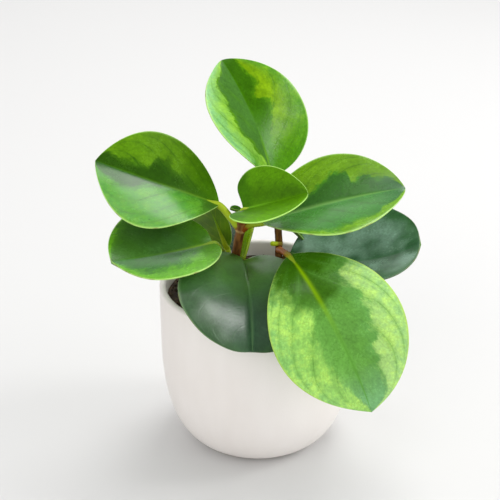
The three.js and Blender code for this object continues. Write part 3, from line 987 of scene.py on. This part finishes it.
leaves["lowerLeftLeaf"] = {
    "node": "leaf_lower_left", "slot": "leaf_green", "base": [-22.1, -15.4, 116.6], "heading": 208,
    "pitch": -2.7, "roll": -7.5, "length": 53, "widths": [28.2, 31.7], "lobe": 2.2, "fullness": 1.17,
    "taper": 0.03, "fold": 19.7, "flatTip": 0.6, "curl": -13.2, "bend": -10.6, "twist": -4,
    "petiole": [[-12.4, -1.6, 95], [-18.2, -5, 107]],
    "look": {
        "dark": (58, 104, 30), "mid": (68, 122, 22), "bright": (86, 150, 16), "darkLeft": (58, 110, 46),
        "midLeft": (74, 136, 34), "brightLeft": (96, 164, 34), "rib": (132, 176, 50), "ribBase": 0.8,
        "fresh": (76, 132, 10), "freshStart": 0.05, "freshEnd": (0.3, 0.42), "bloomAndSheenShare": 0.1,
        "cloudShare": 0.3, "cloudTone": (104, 164, 20), "softness": 0.1, "jag": 0.4, "creaseShare": 0.3,
        "shine": 0.4, "stalkGreen": (124, 156, 40),
        "leftZone": [(0, 0.2), (0.3, 0.3), (0.5, 0.5), (0.7, 0.62), (0.9, 0.5), (1, 0.3)],
        "rightZone": [(0, 0.5), (0.4, 0.75), (0.7, 0.8), (0.88, 0.6), (1, 0.3)],
    },
}
leaves["centreLeaf"] = {
    "node": "leaf_centre", "slot": "leaf_young", "base": [-7.5, -14, 133.5], "heading": -10, "pitch": 19,
    "roll": 12, "length": 32, "widths": [20, 24.5], "lobe": 5, "sinus": 0.35, "fullness": 0.85,
    "taper": 0.35, "tip": 1, "fold": 35, "curl": -18, "twist": 23,
    "petiole": [[-8.1, -6.1, 122.8], [-8.2, -10.5, 127.5]],
    "look": {
        "dark": (70, 120, 1), "mid": (77, 129, 1), "bright": (86, 142, 1), "softness": 0.14,
        "rim": (176, 224, 108), "rimShare": 0.85, "ribBase": 0.7, "rimBrown": (156, 204, 88),
        "rib": (110, 170, 40), "roughness": 0.36, "shine": 0.15,
    },
}
leaves["rightLeaf"] = {
    "node": "leaf_right", "slot": "leaf_variegated", "base": [2, -9, 124.5], "heading": 2, "pitch": 19,
    "roll": 8, "length": 71, "widths": [32, 31.5], "fullness": 1.45, "tip": 0.5, "fold": 20, "curl": -20,
    "bend": 11, "twist": 12, "petiole": [[-8.9, -5.3, 117.6], [-4, -7.5, 122]],
    "look": {
        # the right half's dark patch and the tip tone are tinted blue-grey with a painted sheen
        "dark": (62, 128, 46), "darkLeft": (48, 102, 24), "mid": (68, 132, 14), "rib": (130, 176, 96),
        "ribTip": 0.5, "ribBase": 0.35, "ribFade": 0.3, "ribWide": 0.09, "tipToneAndSheen": (44, 96, 50),
        "tipShare": 0.7, "veinShare": 0.6, "bandShare": 0.12, "bright": (102, 156, 6),
        "brightLeft": (97, 145, 4), "fresh": (60, 116, 2), "jag": 0.16, "midWidth": (0.05, 0.05),
        "cloudShare": 0.3, "cloudTone": (112, 160, 8), "blushFrom": 0.05, "blushTo": 0.14,
        "stalkBrown": (132, 66, 14),
        "leftZone": [(0, 0.05), (0.37, 0.24), (0.43, 0.33), (0.49, 0.42), (0.55, 0.54), (0.64, 0.52),
                     (0.665, 0.28), (0.71, 0.35), (0.76, 0.43), (0.83, 0.35), (0.91, 0.49), (1, 0.4)],
        "rightZone": [(0, 0.9), (0.48, 0.82), (0.61, 0.75), (0.77, 0.76), (0.83, 0.64), (0.91, 0.66),
                      (0.96, 0.53), (1, 0.4)],
    },
}
leaves["backRightLeaf"] = {
    "node": "leaf_right_back", "slot": "leaf_dark", "base": [16.5, 7.7, 99.5], "heading": -9.3,
    "pitch": -14.2, "roll": 11.7, "length": 69.8, "widths": [34.2, 28.7], "fullness": 0.9, "taper": 0.04,
    "tip": -0.9, "fold": 11.6, "flatTip": 0.9, "curl": 19.8, "bend": -53.8, "twist": 8.6,
    "petiole": [[10.6, 12, 90.5], [14, 10.5, 95.5]],
    "look": {
        # the pale blue-grey bloom over much of this leaf is partly a waxy bloom, partly a painted sheen
        "dark": (50, 96, 58), "mid": (54, 102, 60), "bright": (58, 108, 60), "bloomAndSheenShare": 0.75,
        "bloomAndSheen": (130, 164, 144), "stalkGreen": (64, 100, 40), "fresh": (40, 84, 36),
        "vein": (88, 124, 84), "veinShare": 0.3, "rib": (84, 122, 76), "ribBase": 0.5,
        "rim": (96, 128, 96), "rimShare": 0.4, "softness": 0.14,
    },
}
leaves["frontDarkLeaf"] = {
    "node": "leaf_front_dark", "slot": "leaf_dark", "base": [-5, -28.6, 102.2], "heading": -82.8,
    "pitch": -14, "roll": -7, "length": 42.4, "widths": [30.7, 36.4], "lobe": 27.7, "sinus": 0.2,
    "closing": (5.5, 1.6), "fullness": 1.55, "taper": -0.43, "tip": -3.8, "fold": 28.5, "curl": -18,
    "bend": 44.3, "twist": -1.3, "riding": 1.5, "crease": 0.9, "ripple": 0.5,
    "petiole": [[-14.2, 0.3, 84.5], [-9, -18, 92]], "stalk": 1.2, "sunk": 0.9,
    "look": {
        # the lighter fresh tone over the half near the base is partly painted light, and the small bloom is
        # partly a painted sheen
        "dark": (42, 77, 44), "mid": (44, 80, 44), "bright": (48, 86, 44), "bloomAndSheenShare": 0.12,
        "roughness": 0.29, "shine": 0.9, "refraction": 1.56, "creaseShare": 0.4, "freshEnd": (0.5, 0.5),
        "freshStart": 0.0, "fresh": (70, 122, 40), "vein": (84, 120, 76), "veinShare": 0.2,
        "stalkGreen": (50, 84, 40), "stalkBrown": (66, 70, 36), "blushFrom": 0.3, "blushTo": 0.5,
        "rib": (90, 126, 80), "ribBase": 0.35, "ribTip": 0.3, "rim": (110, 140, 96), "rimShare": 0.4,
        "softness": 0.14,
    },
}
leaves["frontBrightLeaf"] = {
    "node": "leaf_front_bright", "slot": "leaf_variegated", "base": [14.6, -22, 113], "heading": -69,
    "pitch": -3, "roll": 19, "length": 93.5, "widths": [32.5, 30.5], "fullness": 1.7, "taper": -0.1,
    "tip": 1, "fold": 5, "curl": -11, "bend": 90, "twist": 14,
    "petiole": [[10.8, 12, 99.5], [12.4, -5, 106.5]], "rows": 104,
    "look": {
        # all but the saturated base is paled and tinted blue with a painted sheen, the tip most
        "dark": (98, 158, 62), "mid": (116, 178, 78), "midLeft": (100, 160, 74), "bright": (148, 206, 94),
        "brightLeft": (168, 214, 120), "cloudTone": (186, 224, 92), "tipToneAndSheen": (112, 172, 112),
        "tipShare": 0.8, "margin": (136, 200, 112), "marginLeft": (150, 206, 130), "marginShare": 0.6,
        "jag": 0.15, "midWidth": (0.16, 0.08), "softness": 0.08, "bandShare": 0.3, "cloudShare": 0.5,
        "creaseShare": 0.75, "fresh": (56, 106, 1), "freshStart": 0.3, "freshEnd": (0.5, 0.5),
        "freshLean": 0.22, "freshShare": 0.95, "ribWide": 0.08, "ribFade": 0.7, "vein": (92, 150, 56),
        "veinShare": 0.6, "rib": (138, 182, 6), "ribBase": 1.0, "ribTip": 0.0, "rim": (176, 212, 90),
        "rimBrown": (144, 170, 64), "stalkBrown": (178, 94, 26), "blushFrom": 0.2, "blushTo": 0.33,
        "leftZone": [(0, 1), (0.2, 0.8), (0.25, 0.6), (0.27, 0.37), (0.35, 0.36), (0.41, 0.46),
                     (0.46, 0.39), (0.51, 0.4), (0.58, 0.34), (0.63, 0.4), (0.69, 0.26), (0.74, 0.34),
                     (0.76, 0.23), (0.8, 0.26), (0.86, 0.37), (0.93, 0.56), (1, 0.5)],
        "rightZone": [(0, 0.3), (0.06, 0.35), (0.14, 0.55), (0.25, 0.42), (0.34, 0.3), (0.4, 0.18),
                      (0.5, 0.3), (0.62, 0.28), (0.68, 0.3), (0.76, 0.24), (0.86, 0.2), (1, 0.0)],
    },
}
leaves["backLeftLeaf"] = {
    "node": "leaf_left_back", "slot": "leaf_green", "base": [-15.5, 11, 101], "heading": -160,
    "pitch": 70, "roll": 60, "length": 32, "widths": [6, 15], "fullness": 1.2, "fold": 12,
    "petiole": [[-12.3, -1.7, 95.5], [-14.5, 7, 97]],
    "look": {
        # painted light: the underside, midrib and stalk colours are brightened as if lit through from behind
        "dark": (66, 106, 4), "mid": (72, 116, 4), "bright": (84, 130, 6), "fresh": (66, 106, 4),
        "under": (76, 114, 4), "underLight": (104, 146, 8), "shine": 0.08, "roughness": 0.5,
        "rib": (172, 204, 20), "ribBase": 1.0, "ribTip": 0.4, "ribWide": 0.2, "ribFade": 1.0,
        "stalkGreen": (150, 172, 22),
    },
}
leaves["shadedLeaf"] = {
    "node": "leaf_back_shaded", "slot": "leaf_dark", "base": [-17, 12, 98], "heading": 105, "pitch": 20,
    "roll": 0, "length": 28, "widths": [12, 12], "fullness": 1.1, "fold": 8,
    "petiole": [[-13.6, 0, 87], [-15.5, 7, 92]],
    "look": {
        # this leaf's colours are darkened with painted shade, for the shadow it sits in
        "dark": (36, 58, 46), "mid": (38, 62, 46), "bright": (42, 70, 46), "fresh": (40, 66, 44),
        "rim": (80, 104, 84),
    },
}
leaves["youngLeaf"] = {
    "node": "young_leaf", "slot": "leaf_young", "base": [-8.6, 1, 99], "heading": 40, "pitch": 70,
    "roll": 0, "length": 21, "widths": [6, 6], "fullness": 1.2, "fold": 40, "rows": 40, "columns": 10,
    "stalk": 1.2, "petiole": [[-13.4, -0.6, 88], [-10.5, 0.6, 93]],
    "look": {
        # these colours are lightened beyond the leaf's own pale green with painted light, to make up for the
        # shade it sits in
        "dark": (146, 196, 10), "mid": (158, 206, 14), "bright": (168, 214, 20), "fresh": (160, 204, 10),
        "rim": (190, 220, 70), "rimShare": 0.4, "under": (150, 196, 10), "underLight": (176, 214, 24),
        "stalkBrown": (120, 70, 20), "blushFrom": 0.22, "blushTo": 0.42,
    },
}
leaves["smallRightLeaf"] = {
    "node": "young_leaf_right", "slot": "leaf_young", "base": [13.2, 14.2, 115.7], "heading": 5,
    "pitch": -47, "roll": 0, "length": 15.8, "widths": [4.6, 4.6], "fullness": 1.1, "fold": 20,
    "rows": 32, "columns": 10, "stalk": 1, "petiole": [[9.9, 12.4, 113.5], [11.6, 13.6, 115.6]],
    "look": {
        "dark": (42, 84, 4), "mid": (50, 96, 6), "bright": (60, 108, 10),
    },
}
leaves["budLeaf"] = {
    "node": "bud_leaf", "slot": "leaf_green", "base": [-8, -3.5, 128.6], "heading": 175, "pitch": 15,
    "roll": 0, "length": 5.8, "widths": [2.6, 2.6], "fullness": 1, "fold": 25, "rows": 24, "columns": 9,
    "stalk": 0.9, "petiole": [[-7.9, -6.2, 123.5], [-7.2, -4.2, 126.4]],
    "look": {
        "dark": (44, 90, 4), "mid": (50, 98, 6), "bright": (58, 110, 8), "rim": (90, 130, 30),
        "rimShare": 0.2, "under": (44, 86, 8), "underLight": (60, 104, 12), "shine": 0.2,
    },
}

for seed, (name, given) in enumerate(leaves.items(), 1):
    leaf = {**plainLeaf, **given, "seed": float(seed)}
    leaf["look"] = {key: colour(*value) if isinstance(value, tuple) and len(value) == 3 else value
                    for key, value in {**plainLook, **given["look"]}.items()}
    leaf["finishes"] = [makeTopMaterial(name, leaf), makeUnderMaterial(name, leaf),
                        makeRimMaterial(name, leaf), makeStalkMaterial(name, leaf)]
    blade = makeBlade(name, leaf)
    stalk = makeStalk(name + "Stalk", leaf)
    for finish in leaf["finishes"]:
        stalk.data.materials.append(finish)
    for face in stalk.data.polygons:
        face.material_index = 3
    pick(blade, stalk)
    bpy.ops.object.join()
    indices = [face.material_index for face in blade.data.polygons]
    handOver(blade, leaf["node"], leaf["finishes"])
    for face, index in zip(blade.data.polygons, indices):
        face.material_index = index


# side bud

sideBud = {
    "points": [[12, 9.8, 104], [9.2, 9, 104.2], [6.3, 8.3, 104.7]],
    "radius": 1.3, "colour": colour(186, 210, 26), "foot": colour(150, 130, 30),
}


def makeSideBud():
    def radiusAt(t):
        blunt = max(1 - (max(t - 0.78, 0) / 0.22) ** 2, 0.02) ** 0.5
        return sideBud["radius"] * (0.75 + 0.3 * t) * blunt
    budPiece = sweptTube("sideBud", sideBud["points"], radiusAt, 20, 24)
    material, shader = newMaterial("budSkin")
    along = grownPlace()[0]
    tone = grain(objectPlace(), 600.0, 3.0)
    body = mixColour(ramp(along, 0.25, 0.5), sideBud["foot"], sideBud["colour"])
    body = put("HueSaturation", {"Color": body, "Value": calc("MULTIPLY_ADD", tone, 0.5, 0.75)})
    coat(shader, body.outputs[0], mixValue(tone, 0.4, 0.6))
    handOver(budPiece, "side_bud", [material])


makeSideBud()

print("all pieces ready")
